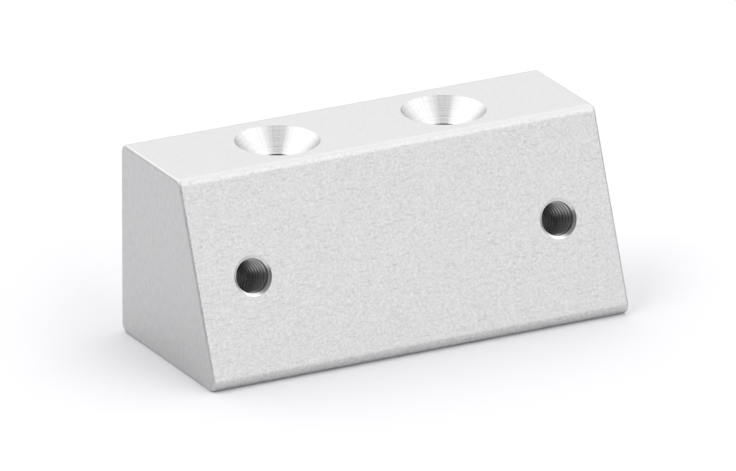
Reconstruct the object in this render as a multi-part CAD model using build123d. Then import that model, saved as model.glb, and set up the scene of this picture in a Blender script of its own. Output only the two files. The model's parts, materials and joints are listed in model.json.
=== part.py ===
"""Machined aluminium mounting block: a bar with one sloping face, screwed down through two countersunk
holes, with two tapped holes square to the slope.

Millimetres. The origin is the middle of the base. +X runs along the block, +Y points to its upright
back and +Z is up, so the sloping face looks towards -Y and a little upwards.
"""

import os
from math import atan2, cos, radians, sin, tan

from build123d import *

# Block
LENGTH = 60.0
HEIGHT = 25.5
BASE_DEPTH = 26.0
TOP_DEPTH = 16.0
LONG_EDGE_RADIUS = 1.2  # the four edges along the block
END_EDGE_RADIUS = 0.4  # the edges round each sawn end

# Countersunk holes for M5 screws, down through the top
SCREW_SPACING = 24.0
SCREW_FROM_BACK = 8.5
SCREW_HOLE_DIAMETER = 5.3
COUNTERSINK_DIAMETER = 11.0
COUNTERSINK_ANGLE = 90.0

# Blind M5 holes, drilled to tapping size, square to the sloping face
TAPPED_FROM_END = 8.0
TAPPED_UP_THE_SLOPE = 14.0  # from the sharp lower edge, along the sloping face
TAPPING_DRILL_DIAMETER = 4.2
TAPPED_DEPTH = 15.0
TAPPED_MOUTH_DIAMETER = 5.3
TAPPED_MOUTH_ANGLE = 90.0
DRILL_POINT_ANGLE = 118.0

# How far a cutter stands clear of the face that it enters or leaves
OVERCUT = 1.0

BACK_Y = BASE_DEPTH / 2
TOP_FRONT_Y = BACK_Y - TOP_DEPTH
LEAN = atan2(BASE_DEPTH - TOP_DEPTH, HEIGHT)  # of the sloping face, from upright


def bar():
    """The bare bar: its section rounded along the length, then the edges of both ends broken."""
    section = Plane.YZ * Polygon(
        (-BASE_DEPTH / 2, 0), (BACK_Y, 0), (BACK_Y, HEIGHT), (TOP_FRONT_Y, HEIGHT), align=None
    )
    section = fillet(section.vertices(), LONG_EDGE_RADIUS)
    body = extrude(section, LENGTH / 2, both=True)
    ends = body.faces().filter_by(Axis.X)
    return fillet(ends.edges(), END_EDGE_RADIUS)


def hole_cutter(drill_diameter, depth, mouth_diameter, mouth_angle, point_angle):
    """What a drill and a countersink remove: along -Z, with the rim of the mouth in the plane z = 0."""
    drill_radius = drill_diameter / 2
    mouth_radius = mouth_diameter / 2
    mouth_spread = tan(radians(mouth_angle) / 2)
    profile = Plane.XZ * Polygon(
        (0, OVERCUT),
        (mouth_radius + OVERCUT * mouth_spread, OVERCUT),
        (drill_radius, (drill_radius - mouth_radius) / mouth_spread),
        (drill_radius, -depth),
        (0, -depth - drill_radius / tan(radians(point_angle) / 2)),
        align=None,
    )
    return revolve(profile, Axis.Z)


def screw_holes():
    """Cutters for the countersunk holes, which pass right through the block."""
    cutter = hole_cutter(
        SCREW_HOLE_DIAMETER, HEIGHT + OVERCUT, COUNTERSINK_DIAMETER, COUNTERSINK_ANGLE, DRILL_POINT_ANGLE
    )
    middle = Pos(0, BACK_Y - SCREW_FROM_BACK, HEIGHT)
    return [middle * Pos(side * SCREW_SPACING / 2) * cutter for side in (-1, 1)]


def tapped_holes():
    """Cutters for the tapped holes, a little above the middle line of the sloping face."""
    cutter = hole_cutter(
        TAPPING_DRILL_DIAMETER, TAPPED_DEPTH, TAPPED_MOUTH_DIAMETER, TAPPED_MOUTH_ANGLE, DRILL_POINT_ANGLE
    )
    slope = Plane(
        origin=(0, TAPPED_UP_THE_SLOPE * sin(LEAN) - BASE_DEPTH / 2, TAPPED_UP_THE_SLOPE * cos(LEAN)),
        x_dir=(1, 0, 0),
        z_dir=(0, -cos(LEAN), sin(LEAN)),
    )
    from_middle = LENGTH / 2 - TAPPED_FROM_END
    return [slope * Pos(side * from_middle) * cutter for side in (-1, 1)]


def mounting_block():
    """The finished block."""
    block = bar() - screw_holes() - tapped_holes()
    block.label = "mounting_block"
    return block


os.makedirs("parts", exist_ok=True)
export_step(mounting_block(), "parts/mounting_block.step")
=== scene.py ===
"""Dresses the machined mounting block and stands it on a pale floor in soft studio light.

Metres, in the part's own frame: +X runs along the block, its sloping face looks towards -Y and a
little upwards, and +Z is up. The block is one piece of aluminium, so it is one piece here too.
"""

import json
from collections import namedtuple
from math import cos, pi, radians, sin, tan

import bmesh
import bpy
from mathutils import Matrix, Vector


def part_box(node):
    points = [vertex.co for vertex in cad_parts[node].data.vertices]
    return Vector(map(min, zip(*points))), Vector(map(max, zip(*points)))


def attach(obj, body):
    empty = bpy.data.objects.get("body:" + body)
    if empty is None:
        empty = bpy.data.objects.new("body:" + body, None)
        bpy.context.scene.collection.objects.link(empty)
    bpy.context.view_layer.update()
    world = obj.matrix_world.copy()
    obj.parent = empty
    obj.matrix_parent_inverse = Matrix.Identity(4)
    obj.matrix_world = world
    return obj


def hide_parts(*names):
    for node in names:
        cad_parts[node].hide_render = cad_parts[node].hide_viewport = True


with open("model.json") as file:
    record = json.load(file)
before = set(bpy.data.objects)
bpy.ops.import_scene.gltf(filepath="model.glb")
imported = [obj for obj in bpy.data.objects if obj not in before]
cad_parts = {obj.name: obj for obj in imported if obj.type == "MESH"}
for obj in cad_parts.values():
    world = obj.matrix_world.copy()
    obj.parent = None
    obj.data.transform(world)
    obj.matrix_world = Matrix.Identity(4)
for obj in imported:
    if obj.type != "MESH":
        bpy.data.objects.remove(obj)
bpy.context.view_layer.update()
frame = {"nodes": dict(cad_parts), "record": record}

MM = 0.001
CLOSE = 1e-6  # points nearer than this are one point

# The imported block's highest corner, and its mounts, which give the straight wall of each hole
BLOCK_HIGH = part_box("mounting_block")[1]
MOUNTS = {mount["name"]: mount for mount in frame["record"]["mounts"]}
SCREW_WALL = MOUNTS["left_screw_hole"]["dims"]
TAPPED_WALL = MOUNTS["left_tapped_hole"]["dims"]

# Screw holes, right through the block, with countersinks
SCREW_HOLE_RADIUS = SCREW_WALL["r_mm"] * MM
COUNTERSINK_ANGLE = 90
COUNTERSINK_DEPTH = BLOCK_HIGH.z - SCREW_WALL["length_mm"] * MM
COUNTERSINK_SPREAD = tan(radians(COUNTERSINK_ANGLE / 2))
COUNTERSINK_RADIUS = SCREW_HOLE_RADIUS + COUNTERSINK_DEPTH * COUNTERSINK_SPREAD

# Mouth of a tapped hole: a shallow cone that breaks its edge, then a steep one that leads the screw in
MOUTH_RADIUS = 2.65 * MM
MOUTH_DEPTH = 0.55 * MM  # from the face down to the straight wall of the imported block
MOUTH_ANGLE = 120
LEAD_IN_RADIUS = 2.25 * MM
LEAD_IN_DEPTH = 0.9 * MM

# Tapped holes, M5 x 0.8, with a drill's point at the bottom
DRILL_RADIUS = TAPPED_WALL["r_mm"] * MM
DRILL_POINT_ANGLE = 118
DRILL_POINT = DRILL_RADIUS / tan(radians(DRILL_POINT_ANGLE / 2))
TAPPED_DEPTH = MOUTH_DEPTH + TAPPED_WALL["length_mm"] * MM
THREAD_PITCH = 0.8 * MM
THREAD_ANGLE = 60
THREAD_ROOT_RADIUS = 2.5 * MM
THREAD_ROOT_FLAT = 0.1 * MM
THREAD_TURNS = 20  # from the bottom of the hole to a little way outside its mouth

# Cutting tools
OVERCUT = 1 * MM  # how far a tool stands clear of the face that it enters or leaves
TURNED_STEPS = 128  # facets round a turned tool
THREAD_STEPS = 48  # facets in one turn of the thread
FLAT_ANGLE = 0.05  # degrees; faces that turn less than this from their neighbours are joined to them
SHARP_ANGLE = 30  # degrees; an edge between faces that turn more than this stays sharp


# ---------------------------------------------------------------- the holes


# mouth is the middle of the rim and out the way out of it; sink_depth goes from the rim to the straight
# wall and reach to the end of the lining; radius is the rim's
Hole = namedtuple("Hole", "name mouth out sink_depth reach radius")


def measured_hole(name, sink_depth, reach, radius):
    """A hole in its place, worked out from the middle, direction and length of its straight wall."""
    mount = MOUNTS[name]
    out = Vector(mount["axis"]).normalized()
    mouth = Vector(mount["pos_m"]) + out * (mount["dims"]["length_mm"] / 2 * MM + sink_depth)
    return Hole(name, mouth, out, sink_depth, reach, radius)


SCREW_HOLES = [
    measured_hole(name, COUNTERSINK_DEPTH, BLOCK_HIGH.z - CLOSE, COUNTERSINK_RADIUS)
    for name in ("left_screw_hole", "right_screw_hole")
]
TAPPED_HOLES = [
    measured_hole(name, MOUTH_DEPTH, TAPPED_DEPTH + DRILL_POINT, MOUTH_RADIUS)
    for name in ("left_tapped_hole", "right_tapped_hole")
]


def walls(bm, hole):
    """The faces that line a hole."""
    found = []
    for face in bm.faces:
        away = face.calc_center_median() - hole.mouth
        depth = -away.dot(hole.out)
        from_axis = (away + hole.out * depth).length
        if CLOSE < depth < hole.reach and from_axis < hole.radius:
            found.append(face)
    return found


# ---------------------------------------------------------------- the block and its cutting tools


def made_object(bm, name):
    """An object at the origin, made from a bmesh that is then freed."""
    mesh = bpy.data.meshes.new(name)
    bm.to_mesh(mesh)
    bm.free()
    made = bpy.data.objects.new(name, mesh)
    bpy.context.scene.collection.objects.link(made)
    return made


def bare_block():
    """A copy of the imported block, with its loose triangles joined, its flat faces whole and its holes filled.

    The holes can then be cut again, finely and with their threads.
    """
    block = bmesh.new()
    block.from_mesh(frame["nodes"]["mounting_block"].data)
    bmesh.ops.remove_doubles(block, verts=block.verts, dist=CLOSE)
    lining = [face for hole in SCREW_HOLES + TAPPED_HOLES for face in walls(block, hole)]
    bmesh.ops.delete(block, geom=lining, context="FACES")
    bmesh.ops.edgenet_fill(block, edges=[edge for edge in block.edges if edge.is_boundary])
    bmesh.ops.recalc_face_normals(block, faces=block.faces)
    bmesh.ops.dissolve_limit(block, angle_limit=radians(FLAT_ANGLE), verts=block.verts, edges=block.edges)
    made = made_object(block, "mounting_block_finished")
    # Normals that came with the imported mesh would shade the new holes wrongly
    packed_normals = made.data.attributes.get("custom_normal")
    if packed_normals:
        made.data.attributes.remove(packed_normals)
    return made


def placed(bm, hole, name):
    """Stands a tool that was made along +Z in a hole, with z = 0 at the hole's mouth."""
    turn = hole.out.to_track_quat("Z", "X").to_matrix().to_4x4()
    bmesh.ops.transform(bm, matrix=Matrix.Translation(hole.mouth) @ turn, verts=bm.verts)
    return made_object(bm, name)


def outline(bm, profile, foot=0):
    """The points and edges of a profile, given as pairs of a radius and a height above the foot."""
    verts = [bm.verts.new((radius, 0, along + foot)) for radius, along in profile]
    edges = [bm.edges.new(pair) for pair in zip(verts, verts[1:])]
    return verts + edges


def turned(profile):
    """A solid turned about the Z axis from a profile that starts and ends on it."""
    bm = bmesh.new()
    bmesh.ops.spin(
        bm,
        geom=outline(bm, profile),
        cent=(0, 0, 0),
        axis=(0, 0, 1),
        angle=2 * pi,
        steps=TURNED_STEPS,
        use_merge=True,
    )
    bmesh.ops.remove_doubles(bm, verts=bm.verts, dist=CLOSE)
    bmesh.ops.recalc_face_normals(bm, faces=bm.faces)
    return bm


def screw_drill(hole):
    """What the drill and the countersink remove for a screw."""
    foot = -BLOCK_HIGH.z - OVERCUT
    profile = (
        (0, OVERCUT),
        (COUNTERSINK_RADIUS + OVERCUT * COUNTERSINK_SPREAD, OVERCUT),
        (SCREW_HOLE_RADIUS, -COUNTERSINK_DEPTH),
        (SCREW_HOLE_RADIUS, foot),
        (0, foot),
    )
    return placed(turned(profile), hole, "screw_drill")


def mouth_countersink(hole):
    """The two cones that are cut in the mouth of a tapped hole."""
    spread = tan(radians(MOUTH_ANGLE / 2))
    profile = (
        (0, OVERCUT),
        (MOUTH_RADIUS + OVERCUT * spread, OVERCUT),
        (LEAD_IN_RADIUS, (LEAD_IN_RADIUS - MOUTH_RADIUS) / spread),
        (DRILL_RADIUS, -LEAD_IN_DEPTH),
        (0, -LEAD_IN_DEPTH),
    )
    return placed(turned(profile), hole, "mouth_countersink")


def threaded_drill(hole):
    """What the drill and the tap remove: a pointed rod with a helical ridge."""
    half_foot = THREAD_ROOT_FLAT / 2 + (THREAD_ROOT_RADIUS - DRILL_RADIUS) * tan(radians(THREAD_ANGLE / 2))
    profile = (
        (DRILL_RADIUS, -THREAD_PITCH / 2),
        (DRILL_RADIUS, -half_foot),
        (THREAD_ROOT_RADIUS, -THREAD_ROOT_FLAT / 2),
        (THREAD_ROOT_RADIUS, THREAD_ROOT_FLAT / 2),
        (DRILL_RADIUS, half_foot),
        (DRILL_RADIUS, THREAD_PITCH / 2),
    )
    rod = bmesh.new()
    bmesh.ops.spin(
        rod,
        geom=outline(rod, profile, -TAPPED_DEPTH),
        cent=(0, 0, 0),
        axis=(0, 0, 1),
        dvec=(0, 0, THREAD_PITCH / THREAD_STEPS),
        angle=2 * pi * THREAD_TURNS,
        steps=THREAD_STEPS * THREAD_TURNS,
    )
    bmesh.ops.remove_doubles(rod, verts=rod.verts, dist=CLOSE)
    # The ends are closed: the lower one with the drill's point, the upper one flat
    ends = ((-TAPPED_DEPTH, -DRILL_POINT), (THREAD_PITCH * THREAD_TURNS - TAPPED_DEPTH, 0))
    for end, point in ends:
        rim = [
            edge for edge in rod.edges if edge.is_boundary and abs(edge.verts[0].co.z - end) < THREAD_PITCH
        ]
        made = bmesh.ops.extrude_edge_only(rod, edges=rim)["geom"]
        tip = [vert for vert in made if isinstance(vert, bmesh.types.BMVert)]
        bmesh.ops.pointmerge(rod, verts=tip, merge_co=(0, 0, end + point))
    bmesh.ops.recalc_face_normals(rod, faces=rod.faces)
    return placed(rod, hole, "threaded_drill")


def cut(block, tool):
    """Cuts the tool's shape out of the block and removes the tool."""
    saw = block.modifiers.new("cut", "BOOLEAN")
    saw.operation = "DIFFERENCE"
    saw.solver = "EXACT"
    saw.object = tool
    uncut = block.data
    block.data = bpy.data.meshes.new_from_object(
        block.evaluated_get(bpy.context.evaluated_depsgraph_get())
    )
    block.modifiers.remove(saw)
    bpy.data.meshes.remove(uncut)
    bpy.data.meshes.remove(tool.data)


def sort_faces(block):
    """Gives each face its finish: 0 is the outside's, and the holes' follow in their order."""
    bm = bmesh.new()
    bm.from_mesh(block.data)
    bmesh.ops.remove_doubles(bm, verts=bm.verts, dist=CLOSE)
    bmesh.ops.dissolve_degenerate(bm, edges=bm.edges, dist=CLOSE)
    for face in bm.faces:
        face.smooth = True
        face.material_index = 0
    for number, hole in enumerate(SCREW_HOLES + TAPPED_HOLES, start=1):
        for face in walls(bm, hole):
            face.material_index = number
    bm.to_mesh(block.data)
    bm.free()


# ---------------------------------------------------------------- nodes


def add(tree, kind, inputs=None, **settings):
    """Adds a node. Each input named gets a value, or a link where a socket is given."""
    made = tree.nodes.new(kind)
    for name, value in settings.items():
        setattr(made, name, value)
    for socket, value in (inputs or {}).items():
        if isinstance(value, bpy.types.NodeSocket):
            tree.links.new(value, made.inputs[socket])
        else:
            made.inputs[socket].default_value = value
    return made


def combine(tree, operation, *values):
    """What a Math node makes of one, two or three values."""
    return add(tree, "ShaderNodeMath", dict(enumerate(values)), operation=operation).outputs["Value"]


def combine_vectors(tree, operation, *vectors):
    """The outputs of a Vector Math node."""
    return add(tree, "ShaderNodeVectorMath", dict(enumerate(vectors)), operation=operation).outputs


def plus(tree, base, value, amount):
    """The base, with so much of a value added to it."""
    return combine(tree, "MULTIPLY_ADD", value, amount, base)


def around_one(tree, value, amount):
    """Turns a value that wanders round a half into one that wanders round 1."""
    return plus(tree, 1 - amount / 2, value, amount)


def blend(tree, value, low, high, at_low=0, at_high=1):
    """A smooth step from one level to another, as a value goes from low to high."""
    inputs = {"Value": value, "From Min": low, "From Max": high, "To Min": at_low, "To Max": at_high}
    return add(tree, "ShaderNodeMapRange", inputs, interpolation_type="SMOOTHSTEP").outputs["Result"]


def in_millimetres(tree, place, stretch=(1, 1, 1)):
    """Object coordinates in millimetres, times a factor along each axis."""
    scale = [factor / MM for factor in stretch]
    return add(tree, "ShaderNodeMapping", {"Vector": place, "Scale": scale}).outputs["Vector"]


def cloud(tree, place, scale, detail=2.0, roughness=0.6):
    """Soft noise about a half, with so many clouds in one unit of the coordinates."""
    inputs = {"Vector": place, "Scale": scale, "Detail": detail, "Roughness": roughness}
    return add(tree, "ShaderNodeTexNoise", inputs).outputs["Fac"]


# ---------------------------------------------------------------- the finishes

# Tones go from 0, black, to 1, white
ALUMINIUM_TONE = 0.597
GRAIN_SCALE = 3.0  # clouds in a millimetre
GRAIN_TONE = 0.41
GRAIN_DEPTH = 0.007 * MM
MOTTLE_TONE = 0.03
PIT_TONE = -0.13
SPECK_TONE = 0.09
HAIRLINE_TONE = -0.06
PIT_HEIGHT = -1.0  # heights in parts of GRAIN_DEPTH
HAIRLINE_HEIGHT = -0.5
ALUMINIUM_ROUGHNESS = 0.47
GRAIN_ROUGHNESS = 0.25
MOTTLE_ROUGHNESS = 0.06
TOP_CALM = 0.75  # how much of the grain the top lacks
END_CALM = 0.45
END_STREAKS = (1, 1, 0.3)  # draws the grain of the ends out upright
HAIRLINE_STRETCH = (0.8, 4.5, 4.5)  # draws hairlines out along X
SPECK_STRETCH = (1.01, 1.02, 0.97)  # keeps specks off the pits' places

TURNED_ROUGHNESS = 0.28
# The straight walls' tones below are painted darker than the cones': painted shade inside the holes
COUNTERSINK_TONE = 0.61
SCREW_WALL_SHADED_TONE = 0.5
COUNTERSINK_GROOVES = 1.0  # how strongly the turned grooves draw a glint out
MOUTH_TONE = 0.62
THREAD_SHADED_TONE = 0.34
MOUTH_GROOVES = 0.5
RING_SCALE = 5.0  # clouds in a millimetre of depth
CHATTER_SCALE = 16.0
RING_AND_CHATTER_TONE = 0.5
RING_ROUGHNESS = 0.4
CHATTER_HEIGHT = 0.1  # in parts of RING_DEPTH
RING_DEPTH = 0.0005 * MM
WALL_BLEND = 0.05  # in parts of the depth where the straight wall starts


def spots(tree, place, scale, size, softness=0.6):
    """Sparse round spots: 1 in a spot and 0 between them."""
    apart = add(tree, "ShaderNodeTexVoronoi", {"Vector": place, "Scale": scale}).outputs["Distance"]
    return blend(tree, apart, size * scale * (1 - softness), size * scale, 1, 0)


def hairlines_along(tree, place, turn, least, most):
    """Sparse hairlines along the turned X axis: 1 in a line and 0 between them."""
    inputs = {"Vector": place, "Rotation": turn, "Scale": HAIRLINE_STRETCH}
    drawn_out = add(tree, "ShaderNodeMapping", inputs).outputs["Vector"]
    return blend(tree, cloud(tree, drawn_out, scale=1.0, detail=0.0), least, most)


def start_metal(name):
    """A bare metal: the material, its node tree, its shader and its object coordinates."""
    made = bpy.data.materials.new(name)
    made.use_nodes = True
    tree = made.node_tree
    shader = tree.nodes["Principled BSDF"]
    shader.inputs["Metallic"].default_value = 1.0
    return made, tree, shader, add(tree, "ShaderNodeTexCoord").outputs["Object"]


def finish_metal(tree, shader, tone, roughness, height, depth):
    """Feeds the shader: a grey tone, a roughness, and a height that is worth a depth in metres."""
    grey = add(tree, "ShaderNodeCombineColor", {"Red": tone, "Green": tone, "Blue": tone}).outputs["Color"]
    tree.links.new(grey, shader.inputs["Base Color"])
    tree.links.new(roughness, shader.inputs["Roughness"])
    relief = add(tree, "ShaderNodeBump", {"Height": height, "Strength": 1.0, "Distance": depth})
    tree.links.new(relief.outputs["Normal"], shader.inputs["Normal"])


def tumbled_aluminium():
    """The outside: fine grain, with a few pits, bright specks and hairlines.

    It is calmer on the top, and calmer and drawn out into upright streaks on the two ends.
    """
    made, tree, shader, place = start_metal("tumbled_aluminium")
    facing = add(tree, "ShaderNodeNewGeometry").outputs["Normal"]
    facing = add(tree, "ShaderNodeSeparateXYZ", {"Vector": facing}).outputs
    top = blend(tree, facing["Z"], low=0.6, high=0.95)
    end = blend(tree, combine(tree, "ABSOLUTE", facing["X"]), low=0.5, high=0.9)
    calm = plus(tree, 1, top, -TOP_CALM)
    calm = combine(tree, "SUBTRACT", calm, combine(tree, "MULTIPLY", end, END_CALM))

    here = in_millimetres(tree, place)
    grain = cloud(tree, here, GRAIN_SCALE, roughness=0.7)
    streaks = cloud(tree, in_millimetres(tree, place, END_STREAKS), GRAIN_SCALE)
    mottle = cloud(tree, here, scale=0.7)
    grain = add(tree, "ShaderNodeMix", {"Factor": end, "A": grain, "B": streaks}).outputs["Result"]
    grain = combine(tree, "MULTIPLY", combine(tree, "SUBTRACT", grain, 0.5), calm)

    pits = spots(tree, here, scale=1.0, size=0.12)
    pits = combine(tree, "MULTIPLY", pits, calm)
    specks = spots(tree, in_millimetres(tree, place, SPECK_STRETCH), scale=1.6, size=0.11)
    specks = combine(tree, "MULTIPLY", specks, calm)
    level = hairlines_along(tree, here, turn=(0, 0.55, 0.2), least=0.72, most=0.78)
    steep = hairlines_along(tree, here, turn=(0.1, -1.2, -0.4), least=0.69, most=0.75)
    hairlines = combine(tree, "MULTIPLY", combine(tree, "MAXIMUM", level, steep), calm)

    tone = plus(tree, ALUMINIUM_TONE, grain, GRAIN_TONE)
    tone = combine(tree, "MULTIPLY", tone, around_one(tree, mottle, MOTTLE_TONE))
    tone = plus(tree, tone, pits, PIT_TONE)
    tone = plus(tree, tone, specks, SPECK_TONE)
    tone = plus(tree, tone, hairlines, HAIRLINE_TONE)
    roughness = plus(tree, ALUMINIUM_ROUGHNESS, mottle, MOTTLE_ROUGHNESS)
    roughness = plus(tree, roughness, grain, GRAIN_ROUGHNESS)
    height = plus(tree, grain, pits, PIT_HEIGHT)
    height = plus(tree, height, hairlines, HAIRLINE_HEIGHT)
    finish_metal(tree, shader, tone, roughness, height, GRAIN_DEPTH)
    return made


def turned_metal(hole, cone_tone, shaded_wall_tone, grooves):
    """Bright metal with the fine rings and the chatter that a cutter leaves round a hole, and painted shade:
    its straight wall below the cone is painted darker than the cone.
    """
    made, tree, shader, place = start_metal(hole.name + "_metal")
    shader.inputs["Anisotropic"].default_value = grooves
    away = combine_vectors(tree, "SUBTRACT", place, hole.mouth)["Vector"]
    above = combine_vectors(tree, "DOT_PRODUCT", away, hole.out)["Value"]
    around = combine_vectors(tree, "CROSS_PRODUCT", hole.out, away)["Vector"]
    around = combine_vectors(tree, "NORMALIZE", around)["Vector"]
    tree.links.new(around, shader.inputs["Tangent"])

    depth = combine(tree, "MULTIPLY", above, -1 / MM)
    level = add(tree, "ShaderNodeCombineXYZ", {"X": depth}).outputs["Vector"]
    rings = cloud(tree, level, RING_SCALE, roughness=0.8)
    chatter = cloud(tree, around, CHATTER_SCALE, roughness=0.7)
    wall_starts = hole.sink_depth / MM
    wall = blend(tree, depth, wall_starts * (1 - WALL_BLEND), wall_starts * (1 + WALL_BLEND))
    # Painted shade: the straight wall below the cone takes the darker wall tone
    tone = plus(tree, cone_tone, wall, shaded_wall_tone - cone_tone)
    tone = combine(tree, "MULTIPLY", tone, around_one(tree, rings, RING_AND_CHATTER_TONE))
    tone = combine(tree, "MULTIPLY", tone, around_one(tree, chatter, RING_AND_CHATTER_TONE))
    roughness = combine(tree, "MULTIPLY", around_one(tree, rings, RING_ROUGHNESS), TURNED_ROUGHNESS)
    height = plus(tree, rings, chatter, CHATTER_HEIGHT)
    finish_metal(tree, shader, tone, roughness, height, RING_DEPTH)
    return made


# ---------------------------------------------------------------- the finished block


def finished_block():
    """The block with its holes cut, its finishes on and its flat faces shaded flat."""
    block = bare_block()
    for hole in SCREW_HOLES:
        cut(block, screw_drill(hole))
    for hole in TAPPED_HOLES:
        cut(block, threaded_drill(hole))
        cut(block, mouth_countersink(hole))
    finishes = block.data.materials
    finishes.clear()
    finishes.append(tumbled_aluminium())
    for hole in SCREW_HOLES:
        finishes.append(turned_metal(hole, COUNTERSINK_TONE, SCREW_WALL_SHADED_TONE, COUNTERSINK_GROOVES))
    for hole in TAPPED_HOLES:
        finishes.append(turned_metal(hole, MOUTH_TONE, THREAD_SHADED_TONE, MOUTH_GROOVES))
    sort_faces(block)
    block.data.set_sharp_from_angle(angle=radians(SHARP_ANGLE))
    weighted = block.modifiers.new("face_weighted_normals", "WEIGHTED_NORMAL")
    weighted.keep_sharp = True
    return block


block = finished_block()
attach(block, "root")
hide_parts("mounting_block")

# ---------------------------------------------------------------- floor, light and camera

FLOOR_SIZE = 20.0
FLOOR_COLOUR = (0.77, 0.766, 0.783, 1)
FLOOR_ROUGHNESS = 0.9

# The sky is white, brighter above and towards one side
SKY_LOW = 0.538
SKY_HIGH = 2.189
SKY_HEIGHT = 25.9  # degrees above the floor where it reaches its full brightness
SKY_TILT = Vector((-0.5, -0.469, 0))
# A dark gap, low down at the left, shades the left end
GAP_SIDE = Vector((-0.9077, -0.289, -0.3044))
GAP_DEPTH = 0.88
GAP_INNER_ANGLE = 49.2  # degrees from GAP_SIDE
GAP_OUTER_ANGLE = 52.5
# A dark strip from behind the camera over the block, and duller sides, leave the turned metal two
# bright glints and a grey one between them
STRIP_SIDE = Vector((-0.4856, -0.8742, 0))
STRIP_ACROSS = Vector((0.8742, -0.4856, 0))
STRIP_DEPTH = 0.95
STRIP_INNER_ANGLE = 14  # degrees off the strip's middle
STRIP_OUTER_ANGLE = 19
STRIP_END = -0.4  # cosines of the angle from STRIP_SIDE, where the strip has ended and where it is whole
STRIP_WHOLE = -0.1
SIDE_DEPTH = 0.5
SIDE_START = 0.70  # sines of the angle off the strip's middle
SIDE_WHOLE = 0.80

CAMERA_AZIMUTH = -28.234  # degrees round from straight in front
CAMERA_ELEVATION = 20.7497
CAMERA_ROLL = 0.1545
CAMERA_DISTANCE = 1716.012 * MM
CAMERA_LENS = 652.8664  # millimetres, as the sensor's width is
SENSOR_WIDTH = 36
AIM_RIGHT = 5.01 * MM  # from the middle of the back's foot, as the camera stands
AIM_UP = 7.11 * MM
CLIP_START = 0.01
CLIP_END = 100


def pale_floor():
    """A wide matt floor at the block's foot."""
    bm = bmesh.new()
    bmesh.ops.create_grid(bm, x_segments=1, y_segments=1, size=FLOOR_SIZE / 2)
    floor = made_object(bm, "pale_floor")
    paint = bpy.data.materials.new("white_floor")
    paint.use_nodes = True
    shader = paint.node_tree.nodes["Principled BSDF"]
    shader.inputs["Base Color"].default_value = FLOOR_COLOUR
    shader.inputs["Roughness"].default_value = FLOOR_ROUGHNESS
    shader.inputs["Specular IOR Level"].default_value = 0.0
    floor.data.materials.append(paint)


def studio():
    """The sky, which is the only light."""
    world = bpy.data.worlds.new("pale_studio")
    world.use_nodes = True
    tree = world.node_tree
    direction = add(tree, "ShaderNodeTexCoord").outputs["Generated"]

    def towards(side):
        """The cosine of the angle between the direction and a side."""
        return combine_vectors(tree, "DOT_PRODUCT", direction, side)["Value"]

    height = add(tree, "ShaderNodeSeparateXYZ", {"Vector": direction}).outputs["Z"]
    dome = blend(tree, height, 0, sin(radians(SKY_HEIGHT)), SKY_LOW, SKY_HIGH)
    sky = combine(tree, "ADD", dome, towards(SKY_TILT))

    gap_outer = cos(radians(GAP_OUTER_ANGLE))
    gap_inner = cos(radians(GAP_INNER_ANGLE))
    gap = blend(tree, towards(GAP_SIDE), gap_outer, gap_inner, 1, 1 - GAP_DEPTH)
    sky = combine(tree, "MULTIPLY", sky, gap)

    off = combine(tree, "ABSOLUTE", towards(STRIP_ACROSS))
    strip_inner = sin(radians(STRIP_INNER_ANGLE))
    strip_outer = sin(radians(STRIP_OUTER_ANGLE))
    strip = blend(tree, off, strip_inner, strip_outer, STRIP_DEPTH, 0)
    strip = combine(tree, "MULTIPLY", strip, blend(tree, towards(STRIP_SIDE), STRIP_END, STRIP_WHOLE))
    sky = combine(tree, "MULTIPLY", sky, combine(tree, "SUBTRACT", 1, strip))

    sides = blend(tree, off, SIDE_START, SIDE_WHOLE, 1, 1 - SIDE_DEPTH)
    sky = combine(tree, "MULTIPLY", sky, sides)
    background = tree.nodes["Background"]
    background.inputs["Color"].default_value = (1, 1, 1, 1)
    tree.links.new(sky, background.inputs["Strength"])
    bpy.context.scene.world = world


def camera():
    """A long lens that looks down on the block from its left, with a slight roll."""
    azimuth = radians(CAMERA_AZIMUTH)
    elevation = radians(CAMERA_ELEVATION)
    roll = radians(CAMERA_ROLL)
    back = Vector((sin(azimuth) * cos(elevation), -cos(azimuth) * cos(elevation), sin(elevation)))
    level = Vector((0, 0, 1)).cross(back).normalized()
    upright = back.cross(level)
    right = level * cos(roll) + upright * sin(roll)
    up = upright * cos(roll) - level * sin(roll)
    data = bpy.data.cameras.new("studio_camera")
    data.lens = CAMERA_LENS
    data.sensor_width = SENSOR_WIDTH
    data.clip_start = CLIP_START
    data.clip_end = CLIP_END
    made = bpy.data.objects.new("studio_camera", data)
    aim = Vector((0, BLOCK_HIGH.y, 0)) + right * AIM_RIGHT + up * AIM_UP
    turn = Matrix((right, up, back)).transposed().to_4x4()
    made.matrix_world = Matrix.Translation(aim + back * CAMERA_DISTANCE) @ turn
    bpy.context.scene.collection.objects.link(made)
    bpy.context.scene.camera = made


pale_floor()
studio()
camera()
bpy.context.scene.view_settings.view_transform = "Standard"
